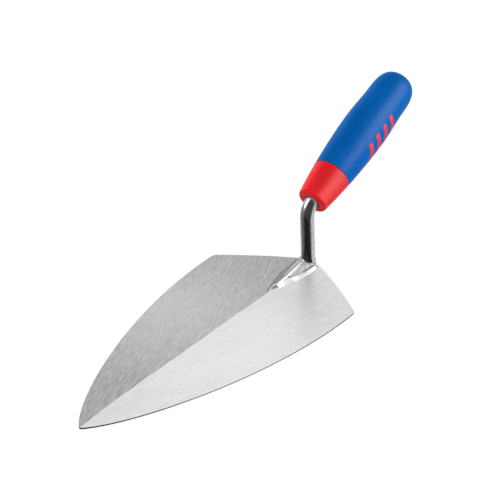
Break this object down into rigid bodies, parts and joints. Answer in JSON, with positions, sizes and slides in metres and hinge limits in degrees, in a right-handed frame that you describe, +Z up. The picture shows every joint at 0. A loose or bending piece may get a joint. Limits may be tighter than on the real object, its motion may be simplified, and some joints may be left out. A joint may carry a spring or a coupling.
{
  "type": "brick trowel",
  "caption": "Pointed brick trowel: ridged ground steel blade, cranked steel shank on a welded foot, and a tapered red and blue moulded grip.",
  "frame": {"origin": "point of the blade's flat underside on the centre line, where the shank's axis meets it, 6 mm ahead of the heel", "axes": "+X along the blade to its tip, +Z up away from the underside, +Y to the side, which is the left hand side seen along +X"},
  "size_m": [0.4037, 0.14, 0.1296],
  "materials": {
    "ground_steel": "hand ground, fine scratches that run roughly along each blade face",
    "forged_steel": "polished forging with slight mottling at the bend and on the foot",
    "dressed_weld": "weld ground bright and flush",
    "core_plastic": "semi-gloss moulded red plastic",
    "grip_rubber": "satin blue soft-touch plastic"
  },
  "bodies": {
    "root": {"blade": "ground_steel", "shank": "forged_steel", "foot_weld": "dressed_weld", "handle_core": "core_plastic", "grip_sleeve": "grip_rubber"}
  },
  "joints": []
}
